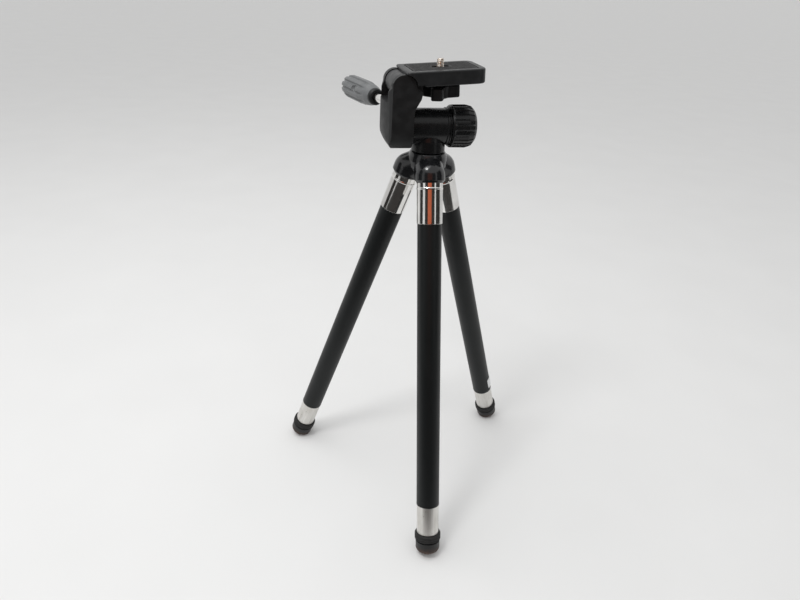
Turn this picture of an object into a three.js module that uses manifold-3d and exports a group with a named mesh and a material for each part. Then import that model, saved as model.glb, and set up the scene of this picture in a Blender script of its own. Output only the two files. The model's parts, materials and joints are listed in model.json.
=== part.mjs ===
// A compact table tripod with a pan-and-tilt head.
// Millimetres, +Z up. The origin is on the floor, under the middle of the object's box.
import * as THREE from "three";
import { mergeVertices } from "three/addons/utils/BufferGeometryUtils.js";
import Module from "manifold-3d";

const wasm = await Module();
wasm.setup();

// ---- driving dimensions -------------------------------------------------------------------
const CLEARANCE = 0.3; // gap between pieces that touch
const ROUND = 24; // sides of a round piece

// Legs. Places along a leg are distances from its hinge pin.
const LEG_SPLAY = THREE.MathUtils.degToRad(19); // from upright, with the legs open
const LEG_HEADINGS = [11.7, -102.3, 131.7].map(THREE.MathUtils.degToRad); // from straight forward
const LEG_NAMES = ["front", "left", "right"];
const HINGE_RADIUS = 16.8; // hinge pin to the tripod's axis
const FERRULE_START = 6.2;
const FERRULE_LENGTH = 36.5;
const FERRULE_RADIUS = 11.6;
const FERRULE_BORE = 10.95;
const BEAD_BELOW_TOP = 5.4; // raised ring round the ferrule
const SLEEVE_START = FERRULE_START + FERRULE_LENGTH;
const SLEEVE_LENGTH = 270.7;
const SLEEVE_RADIUS = 11;
const TUBE_START = 27.7;
const TUBE_END = SLEEVE_START + 299.9;
const TUBE_RADII = [10.6, 9.3, 8.0, 6.7]; // outer tube and the three inner sections
const TUBE_WALL = 0.7;
const SECTION_START = 62; // top of the first inner section
const SECTION_STEP = 4; // each further section starts this much lower
const COLLAR_LENGTH = 7;
const COLLAR_RADIUS = 12.8;
const FOOT_RADIUS = 11.8;
const FOOT_CORNER = 5; // radius of the foot's round edge
const FOOT_END = TUBE_END + 20.3;
const FOOT_FLAT = 0.4; // height worn off the round edge where it meets the floor
// A splayed leg stands on the inner side of its foot's round edge.
const HINGE_HEIGHT =
  (FOOT_END - FOOT_CORNER) * Math.cos(LEG_SPLAY) +
  (FOOT_RADIUS - FOOT_CORNER) * Math.sin(LEG_SPLAY) +
  FOOT_CORNER -
  FOOT_FLAT;

// Hub. Heights here and in the head are from a level a little above the hinge pins.
const PIN_DROP = 3.8; // from that level down to the pins
const HUB_TOP = 13.4;
const BALL_RADIUS = 11.35; // top of a leg, inside the hub
const SOCKET_RADIUS = 11.7;
const LOBE_RADIUS = 13.6;
const LOBE_SKIRT = 5.2; // the lobe reaches this far down the leg
const PIN_RADIUS = 1.5;
const PIN_LENGTH = 25.6;
const BOLT_RADIUS = 2;

// Head, turned on the hub.
const PAN_ANGLE = THREE.MathUtils.degToRad(15);
const NECK_RADIUS = 15;
const BARREL_HEIGHT = 35.2;
const BARREL_RADIUS = 15.4;
const BARREL_START = -18.7;
const BARREL_END = 15;
const SHAFT_RADIUS = 4;
const KNOB_RADIUS = 18.3;
const KNOB_LENGTH = 25.8;
const KNOB_RIBS = 24;
const BRACKET_LEFT = -38.2; // at the bracket's front and back edges
const BRACKET_BULGE = 5.5; // how much further left its outer side stands halfway between them
const BRACKET_RIGHT = BARREL_START - CLEARANCE;
const BRACKET_BOTTOM = 18.4;
const BRACKET_DEPTH = 44;
const BRACKET_CORNER = 14; // radius of the bracket's two lower corners, seen from the side
const FLIP_X = -28.5; // axis that the platform flips about
const FLIP_HEIGHT = 70;
const EAR_RADIUS = 10.3;
const EAR_GAP = 30.6;

// Platform, measured from its flip axis.
const PLATFORM_RISE = THREE.MathUtils.degToRad(4); // it rests a little raised
const PLATFORM_LEFT = 2;
const PLATFORM_RIGHT = 69;
const PLATFORM_DEPTH = 50;
const PLATFORM_TOP = 12.4;
const PLATFORM_THICKNESS = 11.8;
const PLATFORM_CORNER = 9;
const PAD_INSET = 5.5;
const PAD_DEPTH = 1.6;
const PAD_PROUD = 0.3;
const SCREW_X = 35.3;
const SCREW_RADIUS = 3.175; // 1/4 inch camera thread
const SCREW_PROUD = 6.2;
const SLOT_LENGTH = 15.4;
const SLOT_WIDTH = 7.4;
const WING_HEADINGS = [5, 125, 245].map(THREE.MathUtils.degToRad); // of the screw knob's three wings
const WING_REACH = 17;
const WING_WIDTH = 10.6;
const WING_TOP = -3.2;
const WING_BOTTOM = -13.2;

// Handle, out of the bracket's back.
const HANDLE_HEIGHT = 48.8;
const HANDLE_YAW = THREE.MathUtils.degToRad(14.5);
const HANDLE_DROP = THREE.MathUtils.degToRad(0.2);
const ROD_RADIUS = 4;
const GRIP_START = 40.5;
const GRIP_LENGTH = 63;
const GRIP_RADIUS = 11.2;
const GRIP_FLUTES = 10;

// ---- materials ----------------------------------------------------------------------------
const finish = (color, roughness, metalness) =>
  new THREE.MeshStandardMaterial({ color, roughness, metalness });
const materials = {
  chrome: finish(0xd8d8d6, 0.08, 1),
  satinMetal: finish(0xb9b6ae, 0.35, 1),
  blackSleeve: finish(0x0b0e0e, 0.38, 0),
  blackPlastic: finish(0x121314, 0.5, 0),
  glossPlastic: finish(0x08090a, 0.16, 0),
  greyPlastic: finish(0x5d5f61, 0.5, 0),
  rubber: finish(0x141414, 0.75, 0),
  foot: finish(0x2a211d, 0.85, 0),
  label: finish(0xd9dbdc, 0.4, 0),
};

// ---- shapes -------------------------------------------------------------------------------
function toSolid(geometry) {
  const bare = geometry.index ? geometry.toNonIndexed() : geometry.clone();
  bare.deleteAttribute("normal");
  bare.deleteAttribute("uv");
  const merged = mergeVertices(bare, 1e-4);
  const corners = [];
  const index = merged.index.array;
  for (let i = 0; i < index.length; i += 3) {
    const [a, b, c] = [index[i], index[i + 1], index[i + 2]];
    if (a !== b && b !== c && c !== a) corners.push(a, b, c);
  }
  const vertProperties = merged.attributes.position.array;
  const made = (order) =>
    new wasm.Manifold(new wasm.Mesh({ numProp: 3, vertProperties, triVerts: new Uint32Array(order) }));
  const solid = made(corners);
  return solid.volume() < 0 ? made(corners.reverse()) : solid;
}

function toGeometry(solid) {
  const mesh = solid.getMesh();
  const geometry = new THREE.BufferGeometry();
  geometry.setAttribute("position", new THREE.BufferAttribute(mesh.vertProperties, 3));
  geometry.setIndex(new THREE.BufferAttribute(mesh.triVerts, 1));
  geometry.computeVertexNormals();
  return geometry;
}

const combine = (how) => (first, ...others) =>
  toGeometry(others.reduce((whole, g) => whole[how](toSolid(g)), toSolid(first)));
const join = combine("add");
const cut = combine("subtract");
const common = combine("intersect");

// A body of revolution about Z. Each point is [radius, z].
function lathe(points, sides = ROUND) {
  const profile = points.map(([r, z]) => new THREE.Vector2(r, z));
  return new THREE.LatheGeometry(profile, sides).rotateX(Math.PI / 2);
}

const rod = (radius, from, to, sides = ROUND) =>
  lathe([[0, from], [radius, from], [radius, to], [0, to]], sides);
const pipe = (inner, outer, from, to) =>
  lathe([[inner, from], [outer, from], [outer, to], [inner, to], [inner, from]]);
const ball = (radius) => new THREE.SphereGeometry(radius, 20, 12);

// A box given by its lowest and highest corners.
function block([x0, y0, z0], [x1, y1, z1]) {
  const made = new THREE.BoxGeometry(x1 - x0, y1 - y0, z1 - z0);
  return made.translate((x0 + x1) / 2, (y0 + y1) / 2, (z0 + z1) / 2);
}

// An outline in X and Y, extruded upward.
function slab(points, from, to) {
  const asShape = () => new THREE.Shape(points.map(([x, y]) => new THREE.Vector2(x, y)));
  const shape = Array.isArray(points) ? asShape() : points;
  const options = { depth: to - from, bevelEnabled: false, curveSegments: 6 };
  const made = new THREE.ExtrudeGeometry(shape, options);
  return made.translate(0, 0, from);
}

function roundedRectangle(x0, y0, x1, y1, r) {
  const shape = new THREE.Shape();
  shape.moveTo(x0 + r, y0).lineTo(x1 - r, y0);
  shape.absarc(x1 - r, y0 + r, r, -Math.PI / 2, 0);
  shape.absarc(x1 - r, y1 - r, r, 0, Math.PI / 2);
  shape.absarc(x0 + r, y1 - r, r, Math.PI / 2, Math.PI);
  shape.absarc(x0 + r, y0 + r, r, Math.PI, 1.5 * Math.PI);
  return shape;
}

// Turns a shape made about Z so that its axis is +X, or +Y.
const alongX = (geometry) => geometry.rotateY(Math.PI / 2);
const alongY = (geometry) => geometry.rotateX(-Math.PI / 2);

// A round outline with evenly spaced grooves or teeth.
function toothedOutline(teeth, rootRadius, tipRadius, tipShare) {
  const pitch = (2 * Math.PI) / teeth;
  const points = [];
  for (let i = 0; i < teeth; i++) {
    const at = i * pitch;
    const half = (pitch * tipShare) / 2;
    const slope = pitch * 0.1;
    for (const [angle, radius] of [
      [at - half - slope, rootRadius],
      [at - half, tipRadius],
      [at + half, tipRadius],
      [at + half + slope, rootRadius],
    ])
      points.push([radius * Math.cos(angle), radius * Math.sin(angle)]);
  }
  return points;
}

function piece(name, geometry, material, parent) {
  const mesh = new THREE.Mesh(geometry, material);
  mesh.name = name;
  parent.add(mesh);
  return mesh;
}

// ---- frames -------------------------------------------------------------------------------
const tripod = new THREE.Group();
const top = new THREE.Group(); // on the tripod's axis, a little above the hinge pins
top.position.z = HINGE_HEIGHT + PIN_DROP;
tripod.add(top);

// The frame of one leg: its origin on the hinge pin, X along the pin, -Z down the leg.
function legFrame(heading, closing = 0) {
  const frame = new THREE.Group();
  frame.position.set(HINGE_RADIUS * Math.sin(heading), -HINGE_RADIUS * Math.cos(heading), -PIN_DROP);
  frame.rotation.order = "ZYX";
  frame.rotation.set(closing - LEG_SPLAY, 0, heading);
  frame.updateMatrix();
  return frame;
}

// ---- legs ---------------------------------------------------------------------------------
function buildLeg(side, heading) {
  const leg = legFrame(heading);
  top.add(leg);
  const named = (what) => `${side}_${what}`;

  // A round-topped plug turns on the pin inside the hub and is held by the ferrule.
  const plugEnd = -TUBE_START + CLEARANCE;
  const plug = cut(
    join(
      ball(BALL_RADIUS),
      rod(BALL_RADIUS, -FERRULE_START + CLEARANCE, 0),
      rod(FERRULE_BORE - CLEARANCE, plugEnd, -FERRULE_START + 1),
    ),
    alongX(rod(PIN_RADIUS + CLEARANCE, -20, 20, 12)),
    rod(4, plugEnd - 1, -FERRULE_START - 4, 20),
  );
  piece(named("leg_plug"), plug, materials.blackPlastic, leg);
  const pin = alongX(rod(PIN_RADIUS, -PIN_LENGTH / 2, PIN_LENGTH / 2, 12));
  piece(named("hinge_pin"), pin, materials.satinMetal, leg);

  const beadAt = -FERRULE_START - BEAD_BELOW_TOP;
  const ferrule = lathe([
    [FERRULE_BORE, -SLEEVE_START],
    [FERRULE_RADIUS, -SLEEVE_START],
    [FERRULE_RADIUS, beadAt - 1],
    [FERRULE_RADIUS + 0.35, beadAt],
    [FERRULE_RADIUS, beadAt + 1],
    [FERRULE_RADIUS, -FERRULE_START - 0.5],
    [FERRULE_RADIUS - 0.3, -FERRULE_START],
    [FERRULE_BORE, -FERRULE_START],
    [FERRULE_BORE, -SLEEVE_START],
  ]);
  piece(named("ferrule"), ferrule, materials.chrome, leg);

  const [outer, ...inner] = TUBE_RADII;
  const outerTube = pipe(outer - TUBE_WALL, outer, -TUBE_END, -TUBE_START);
  piece(named("outer_tube"), outerTube, materials.satinMetal, leg);
  const sleeveTop = -SLEEVE_START - CLEARANCE;
  const sleeve = pipe(outer + 0.15, SLEEVE_RADIUS, -SLEEVE_START - SLEEVE_LENGTH, sleeveTop);
  piece(named("sleeve"), sleeve, materials.blackSleeve, leg);

  inner.forEach((radius, i) => {
    const start = SECTION_START + i * SECTION_STEP;
    const tube = pipe(radius - TUBE_WALL, radius, -TUBE_END + CLEARANCE, -start);
    piece(named(`section_${i + 2}`), tube, materials.satinMetal, leg);
  });

  // A ribbed collar and a rubber foot close the end of the innermost section.
  const collarTop = -TUBE_END - CLEARANCE;
  const collarEnd = collarTop - COLLAR_LENGTH;
  const collarBore = 8.6;
  const collar = lathe([
    [collarBore, collarEnd],
    [COLLAR_RADIUS - 0.8, collarEnd],
    [COLLAR_RADIUS, collarEnd + 1.5],
    [COLLAR_RADIUS, collarTop - 1.5],
    [COLLAR_RADIUS - 0.8, collarTop],
    [collarBore, collarTop],
    [collarBore, collarEnd],
  ]);
  piece(named("foot_collar"), collar, materials.rubber, leg);

  // The foot's round edge is worn flat where it stands on the floor.
  const stem = TUBE_RADII[3] - TUBE_WALL - CLEARANCE;
  const edge = [90, 67.5, 45, 22.5, 0].map(THREE.MathUtils.degToRad).map((turn) => [
    FOOT_RADIUS - FOOT_CORNER * (1 - Math.cos(turn)),
    -FOOT_END + FOOT_CORNER * (1 - Math.sin(turn)),
  ]);
  const wholeFoot = lathe([
    [0, -FOOT_END],
    ...edge,
    [FOOT_RADIUS, collarEnd - CLEARANCE],
    [collarBore - CLEARANCE, collarEnd - CLEARANCE],
    [collarBore - CLEARANCE, collarTop],
    [stem, collarTop],
    [stem, -TUBE_END + 14],
    [0, -TUBE_END + 14],
  ]);
  const floor = block([-60, -200, -60], [60, 200, 0]).translate(0, 0, -HINGE_HEIGHT).rotateX(LEG_SPLAY);
  piece(named("foot"), cut(wholeFoot, floor), materials.foot, leg);
  return leg;
}

const legs = LEG_NAMES.map((side, i) => buildLeg(side, LEG_HEADINGS[i]));

// A plain blank label stands a hair proud of the right leg's sleeve.
const labelArc = THREE.MathUtils.degToRad(46);
const labelTop = -SLEEVE_START - SLEEVE_LENGTH + 20;
const labelInner = SLEEVE_RADIUS + CLEARANCE;
const labelOuter = labelInner + 0.25;
const labelShape = new THREE.Shape();
labelShape.absarc(0, 0, labelOuter, 0, labelArc, false);
labelShape.absarc(0, 0, labelInner, labelArc, 0, true);
const label = slab(labelShape, labelTop - 15, labelTop);
label.rotateZ(THREE.MathUtils.degToRad(186));
piece("right_blank_label", label, materials.label, legs[2]);

// ---- hub ----------------------------------------------------------------------------------
function buildHub() {
  const dome = lathe([
    [0, -6],
    [12, -6],
    [18, -3],
    [20.8, 1],
    [21.4, 5],
    [20.6, 9],
    [18.6, 11.8],
    [15.8, HUB_TOP],
    [0, HUB_TOP],
  ]);
  const onLeg = (geometry, heading, closing = 0) => geometry.applyMatrix4(legFrame(heading, closing).matrix);
  const skirt = () => rod(LOBE_RADIUS, -LOBE_SKIRT, 0);
  const lobes = LEG_HEADINGS.map((heading) =>
    onLeg(join(cut(ball(LOBE_RADIUS), block([-20, -20, -20], [20, 20, -0.5])), skirt()), heading),
  );
  const pinReach = PIN_LENGTH / 2 + CLEARANCE;
  const room = LEG_HEADINGS.flatMap((heading) => [
    onLeg(ball(SOCKET_RADIUS), heading),
    ...[0, 19.5].map((degrees) =>
      onLeg(rod(SOCKET_RADIUS, -30, 0), heading, THREE.MathUtils.degToRad(degrees)),
    ),
    onLeg(alongX(rod(PIN_RADIUS + CLEARANCE, -pinReach, pinReach, 12)), heading),
  ]);
  const boltHole = rod(BOLT_RADIUS + CLEARANCE, -20, 30, 20);
  return cut(join(dome, ...lobes), ...room, boltHole);
}
piece("hub", buildHub(), materials.glossPlastic, top);

const boltHeadTop = -6.2 - CLEARANCE;
const panBolt = join(
  rod(BOLT_RADIUS, boltHeadTop - 1, 26, 20),
  rod(3.4, boltHeadTop - 2.6, boltHeadTop, 6),
);
piece("pan_bolt", panBolt, materials.satinMetal, top);

// ---- head ---------------------------------------------------------------------------------
const head = new THREE.Group();
head.rotation.z = PAN_ANGLE;
top.add(head);

const neckBottom = HUB_TOP + CLEARANCE;
const alongBarrel = (geometry) => alongX(geometry).translate(0, 0, BARREL_HEIGHT);
const neck = cut(
  join(
    lathe([
      [0, neckBottom],
      [14.4, neckBottom],
      [NECK_RADIUS, neckBottom + 0.8],
      [NECK_RADIUS, 26],
      [13, 32],
      [0, 32],
    ]),
    alongBarrel(rod(BARREL_RADIUS, BARREL_START, BARREL_END, 32)),
  ),
  alongBarrel(rod(SHAFT_RADIUS + CLEARANCE, -40, 40, 24)),
  rod(BOLT_RADIUS + CLEARANCE, 0, 26.5, 20),
);
piece("pan_neck", neck, materials.glossPlastic, head);

const shaft = alongBarrel(rod(SHAFT_RADIUS, BRACKET_LEFT + 7, BARREL_END + 17, 24));
piece("tilt_shaft", shaft, materials.satinMetal, head);

const washerStart = BARREL_END + CLEARANCE;
const washerEnd = washerStart + 1.2;
const washer = alongBarrel(pipe(SHAFT_RADIUS + CLEARANCE, BARREL_RADIUS + 1, washerStart, washerEnd));
piece("tilt_washer", washer, materials.blackPlastic, head);

// The knob has a plain rim, coarse ribs and a domed end.
function buildKnob() {
  const start = washerEnd + CLEARANCE;
  const end = start + KNOB_LENGTH - 2;
  const profile = lathe([
    [0, start],
    [KNOB_RADIUS - 1.6, start],
    [KNOB_RADIUS - 0.4, start + 1.5],
    [KNOB_RADIUS + 0.2, end - 8],
    [KNOB_RADIUS - 0.8, end - 4.5],
    [KNOB_RADIUS - 3.6, end - 1.6],
    [KNOB_RADIUS - 8, end - 0.3],
    [0, end],
  ]);
  const ribbed = common(
    profile,
    slab(toothedOutline(KNOB_RIBS, KNOB_RADIUS - 0.9, KNOB_RADIUS + 0.2, 0.5), start - 1, end + 1),
  );
  return cut(ribbed, rod(SHAFT_RADIUS + CLEARANCE, start - 2, BARREL_END + 17.6, 24));
}
piece("tilt_knob", alongBarrel(buildKnob()), materials.blackPlastic, head);

// The bracket stands beside the barrel, and two ears at its top hold the platform's knuckle.
const inHandle = (geometry) =>
  alongY(geometry)
    .rotateX(-HANDLE_DROP)
    .rotateZ(HANDLE_YAW)
    .translate(FLIP_X, BRACKET_DEPTH / 2, HANDLE_HEIGHT);

function buildBracket() {
  const half = BRACKET_DEPTH / 2;
  const front = new THREE.Shape();
  front.moveTo(BRACKET_LEFT + 1.5, BRACKET_BOTTOM).lineTo(BRACKET_RIGHT, BRACKET_BOTTOM);
  front.lineTo(BRACKET_RIGHT, 50).lineTo(FLIP_X + 10, 53.4);
  front.lineTo(FLIP_X + 14.6, 61.4).lineTo(FLIP_X + 15.6, 66.6);
  front.absarc(FLIP_X, FLIP_HEIGHT, EAR_RADIUS, 0, Math.PI, false);
  front.lineTo(BRACKET_LEFT - BRACKET_BULGE - 0.4, 60).lineTo(BRACKET_LEFT - BRACKET_BULGE, 24);
  const body = slab(front, -half, half).rotateX(Math.PI / 2);
  const side = new THREE.Shape();
  side.moveTo(-half + BRACKET_CORNER, BRACKET_BOTTOM).lineTo(half - BRACKET_CORNER, BRACKET_BOTTOM);
  const cornerHeight = BRACKET_BOTTOM + BRACKET_CORNER;
  side.absarc(half - BRACKET_CORNER, cornerHeight, BRACKET_CORNER, -Math.PI / 2, 0, false);
  side.lineTo(half, 90).lineTo(-half, 90);
  side.absarc(BRACKET_CORNER - half, cornerHeight, BRACKET_CORNER, Math.PI, 1.5 * Math.PI, false);
  const profile = slab(side, -60, 20).rotateX(Math.PI / 2).rotateZ(Math.PI / 2);
  // Seen from above, its outer side bulges.
  const bulgeRadius = (half * half + BRACKET_BULGE * BRACKET_BULGE) / (2 * BRACKET_BULGE);
  const bulge = rod(bulgeRadius, 0, 100, 144).translate(BRACKET_LEFT - BRACKET_BULGE + bulgeRadius, 0, 0);
  const knuckleRoom = block([-60, -EAR_GAP / 2, FLIP_HEIGHT - 12], [0, EAR_GAP / 2, 100]);
  return cut(
    common(body, profile, bulge),
    knuckleRoom,
    alongBarrel(rod(SHAFT_RADIUS + CLEARANCE, BRACKET_LEFT + 6.5, 0, 24)),
    alongY(rod(PIN_RADIUS + CLEARANCE, -40, 40, 16)).translate(FLIP_X, 0, FLIP_HEIGHT),
    inHandle(rod(ROD_RADIUS + CLEARANCE, -12.5, 40, 24)),
  );
}
piece("bracket", buildBracket(), materials.blackPlastic, head);
const flipPin = alongY(rod(PIN_RADIUS, 0.8 - BRACKET_DEPTH / 2, BRACKET_DEPTH / 2 - 0.8, 16));
piece("platform_pin", flipPin.translate(FLIP_X, 0, FLIP_HEIGHT), materials.satinMetal, head);

// ---- platform -----------------------------------------------------------------------------
const platform = new THREE.Group();
platform.position.set(FLIP_X, 0, FLIP_HEIGHT);
platform.rotation.y = -PLATFORM_RISE;
head.add(platform);
const halfDepth = PLATFORM_DEPTH / 2;
function platformOutline(inset, corner) {
  const depth = halfDepth - inset;
  return roundedRectangle(PLATFORM_LEFT + inset, -depth, PLATFORM_RIGHT - inset, depth, corner);
}
function slotOutline() {
  const [reach, half] = [SLOT_LENGTH / 2, SLOT_WIDTH / 2];
  return roundedRectangle(SCREW_X - reach, -half, SCREW_X + reach, half, 3.6);
}

function buildPlatform() {
  const bottom = PLATFORM_TOP - PLATFORM_THICKNESS;
  const plate = join(
    slab(platformOutline(0, PLATFORM_CORNER), bottom, PLATFORM_TOP - 1.2),
    slab(platformOutline(1, PLATFORM_CORNER - 1), PLATFORM_TOP - 2, PLATFORM_TOP),
  );
  const knuckle = alongY(rod(9.6, CLEARANCE - EAR_GAP / 2, EAR_GAP / 2 - CLEARANCE));
  const gussetOutline = [[2, -4], [9.6, -4.4], [17, -6.4], [17, 3], [2, 3]];
  const gusset = slab(gussetOutline, -13.5, 13.5).rotateX(Math.PI / 2);
  const earRoom = alongY(rod(EAR_RADIUS + 0.5, EAR_GAP / 2 - CLEARANCE, 40));
  const otherEarRoom = alongY(rod(EAR_RADIUS + 0.5, -40, CLEARANCE - EAR_GAP / 2));
  const heel = block([-10, EAR_GAP / 2 - CLEARANCE, -20], [EAR_RADIUS + 0.5, 40, 0]);
  const otherHeel = block([-10, -40, -20], [EAR_RADIUS + 0.5, CLEARANCE - EAR_GAP / 2, 0]);
  const stopRoom = block([0, -40, -20], [16.6, -EAR_GAP / 2 + CLEARANCE, 2]);
  const otherStopRoom = block([0, EAR_GAP / 2 - CLEARANCE, -20], [16.6, 40, 2]);
  const padRecess = slab(platformOutline(PAD_INSET, 3), PLATFORM_TOP - PAD_DEPTH, PLATFORM_TOP + 1);
  const slot = slab(slotOutline(), bottom - 1, PLATFORM_TOP);
  const hollow = slab(platformOutline(3, 7), -1, PLATFORM_TOP - 5);
  const hollowKeep = join(
    block([0, -halfDepth, -1], [24, halfDepth, PLATFORM_TOP]),
    block([0, -3, -1], [PLATFORM_RIGHT, 3, PLATFORM_TOP]),
  );
  return cut(
    join(cut(plate, cut(hollow, hollowKeep)), knuckle, gusset),
    earRoom,
    otherEarRoom,
    heel,
    otherHeel,
    stopRoom,
    otherStopRoom,
    padRecess,
    slot,
    rod(9, -10, 3.5, 24).translate(SCREW_X, 0, 0),
    alongY(rod(PIN_RADIUS + CLEARANCE, -40, 40, 16)),
  );
}
piece("platform", buildPlatform(), materials.blackPlastic, platform);

const padOutline = platformOutline(PAD_INSET + CLEARANCE, 2.7);
padOutline.holes.push(new THREE.Path(slotOutline().getPoints(6)));
const pad = slab(padOutline, PLATFORM_TOP - PAD_DEPTH + CLEARANCE, PLATFORM_TOP + PAD_PROUD);
piece("platform_pad", pad, materials.rubber, platform);

// The camera screw and its wing knob turn together; a clip keeps the screw in its slot.
const screwTop = PLATFORM_TOP + SCREW_PROUD;
const clipLevel = 4.2;
const screw = lathe([
  [0, -5.4],
  [2.4, -5.4],
  [2.4, clipLevel + 3.4],
  [SCREW_RADIUS, clipLevel + 3.4],
  [SCREW_RADIUS, screwTop - 0.8],
  [SCREW_RADIUS - 0.7, screwTop],
  [0, screwTop],
]);
piece("camera_screw", screw.translate(SCREW_X, 0, 0), materials.chrome, platform);
const clip = pipe(2.4 + CLEARANCE, 6.4, clipLevel - 0.4, clipLevel + 0.4);
const clipInSlot = common(clip, block([-7, -SLOT_WIDTH / 2 + 0.4, 0], [7, SLOT_WIDTH / 2 - 0.4, 10]));
piece("screw_clip", clipInSlot.translate(SCREW_X, 0, 0), materials.satinMetal, platform);

function buildWingKnob() {
  const outline = roundedRectangle(-4, -WING_WIDTH / 2, WING_REACH, WING_WIDTH / 2, 3.6);
  const wings = WING_HEADINGS.map((heading) => slab(outline, WING_BOTTOM, WING_TOP).rotateZ(heading));
  const boss = rod(8, WING_BOTTOM, 3, 24);
  return cut(join(boss, ...wings), rod(2.4 + CLEARANCE, -5.4 - CLEARANCE, 10, 24));
}
const wingKnob = buildWingKnob().translate(SCREW_X, 0, 0);
piece("wing_knob", wingKnob, materials.blackPlastic, platform);

// ---- handle -------------------------------------------------------------------------------
const rodEnd = GRIP_START + 30;
piece("handle_rod", inHandle(rod(ROD_RADIUS, -12, rodEnd, 24)), materials.chrome, head);
const ring = lathe([
  [ROD_RADIUS + CLEARANCE, GRIP_START - 4.3],
  [6.4, GRIP_START - 4.3],
  [7.6, GRIP_START - 3],
  [7.8, GRIP_START - CLEARANCE],
  [ROD_RADIUS + CLEARANCE, GRIP_START - CLEARANCE],
  [ROD_RADIUS + CLEARANCE, GRIP_START - 4.3],
], 28);
piece("handle_ring", inHandle(ring), materials.blackPlastic, head);

function buildGrip() {
  const end = GRIP_START + GRIP_LENGTH;
  const profile = lathe([
    [0, GRIP_START],
    [7.6, GRIP_START],
    [9.2, GRIP_START + 6],
    [GRIP_RADIUS, GRIP_START + 20],
    [GRIP_RADIUS, end - 9],
    [GRIP_RADIUS - 1.2, end - 3],
    [GRIP_RADIUS - 4.4, end],
    [0, end],
  ]);
  const fluted = slab(
    toothedOutline(GRIP_FLUTES, GRIP_RADIUS - 1, GRIP_RADIUS + 0.1, 0.56),
    GRIP_START - 1,
    end + 1,
  );
  return cut(common(profile, fluted), rod(ROD_RADIUS + CLEARANCE, GRIP_START - 5, rodEnd + CLEARANCE, 24));
}
piece("handle_grip", inHandle(buildGrip()), materials.greyPlastic, head);

// ---- placing ------------------------------------------------------------------------------
tripod.updateMatrixWorld(true);
const box = new THREE.Box3().setFromObject(tripod, true);
tripod.position.set(-(box.min.x + box.max.x) / 2, -(box.min.y + box.max.y) / 2, -box.min.z);
tripod.updateMatrixWorld(true);

export default tripod;
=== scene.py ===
import json
import math

import bmesh
import bpy
from mathutils import Matrix, Vector


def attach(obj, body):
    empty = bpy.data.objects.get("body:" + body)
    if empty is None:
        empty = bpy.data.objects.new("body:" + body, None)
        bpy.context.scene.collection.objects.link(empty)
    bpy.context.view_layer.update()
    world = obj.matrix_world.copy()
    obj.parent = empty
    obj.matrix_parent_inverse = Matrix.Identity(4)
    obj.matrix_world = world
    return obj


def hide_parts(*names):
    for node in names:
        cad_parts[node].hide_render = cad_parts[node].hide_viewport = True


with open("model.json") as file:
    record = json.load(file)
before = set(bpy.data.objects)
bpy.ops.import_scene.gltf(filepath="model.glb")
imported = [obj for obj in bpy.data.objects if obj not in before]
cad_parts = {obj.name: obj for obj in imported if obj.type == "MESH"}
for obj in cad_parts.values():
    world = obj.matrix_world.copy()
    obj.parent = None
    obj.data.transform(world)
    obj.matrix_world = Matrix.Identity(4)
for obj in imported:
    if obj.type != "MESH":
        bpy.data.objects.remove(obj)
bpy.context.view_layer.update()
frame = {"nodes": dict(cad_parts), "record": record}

MM = 0.001
SIDES = ("front", "left", "right")
ROUND = 96  # sides of a round piece
GAP = 0.3  # between pieces that touch
PIN_DROP = 3.8  # the leg pins sit this far below the level that the head is measured from
SHARP_ANGLE = 32  # degrees between faces, above which an edge stays sharp
PIN_HOLE = 1.8  # radius of the holes for hinge and flip pins
ROD_HOLE = 4.3  # radius of the holes for the tilt shaft and the handle rod
JOINTS = {joint["name"]: joint for joint in frame["record"]["behaviour"]["joints"]}


# ---- places: each is a matrix without scale, in metres ---------------------------------------
def place_at(origin, up, along):
    """A frame whose Z is up and whose X is along, made square to it."""
    z = Vector(up).normalized()
    x = Vector(along)
    x = (x - x.dot(z) * z).normalized()
    place = Matrix((x, z.cross(x), z)).transposed().to_4x4()
    place.translation = Vector(origin)
    return place


def leg_place(side):
    """Origin on the hinge pin, X along the pin, -Z down the leg."""
    fold = JOINTS[side + "_leg_fold"]
    down = Vector(JOINTS[side + "_section_2_slide"]["axis"])
    return place_at(fold["pos_m"], -down, fold["axis"])


def head_place():
    """Origin on the tripod's axis, a little above the leg pins, X along the barrel."""
    x, y, _ = JOINTS["head_pan"]["pos_m"]
    level = JOINTS["front_leg_fold"]["pos_m"][2] + PIN_DROP * MM
    return place_at((x, y, level), (0, 0, 1), JOINTS["head_tilt"]["axis"])


def platform_place():
    """Origin on the flip pin, X towards the free end, Z out of the camera face."""
    flip = JOINTS["platform_flip"]
    up = Vector(JOINTS["camera_screw_turn"]["axis"])
    return place_at(flip["pos_m"], up, up.cross(Vector(flip["axis"])))


def handle_place():
    """Origin where the rod leaves the bracket, Z along the rod."""
    turn = JOINTS["handle_turn"]
    return place_at(turn["pos_m"], turn["axis"], (0, 0, 1))


LEGS = {side: leg_place(side) for side in SIDES}
HEAD = head_place()
HUB = Matrix.Translation(HEAD.translation)
PLATFORM = platform_place()
HANDLE = handle_place()


def span(node, place):
    """A CAD node's lowest and highest Z and greatest radius in a place, in millimetres."""
    inverse = place.inverted()
    points = [inverse @ vertex.co for vertex in frame["nodes"][node].data.vertices]
    heights = [point.z / MM for point in points]
    return min(heights), max(heights), max(point.xy.length / MM for point in points)


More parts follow.
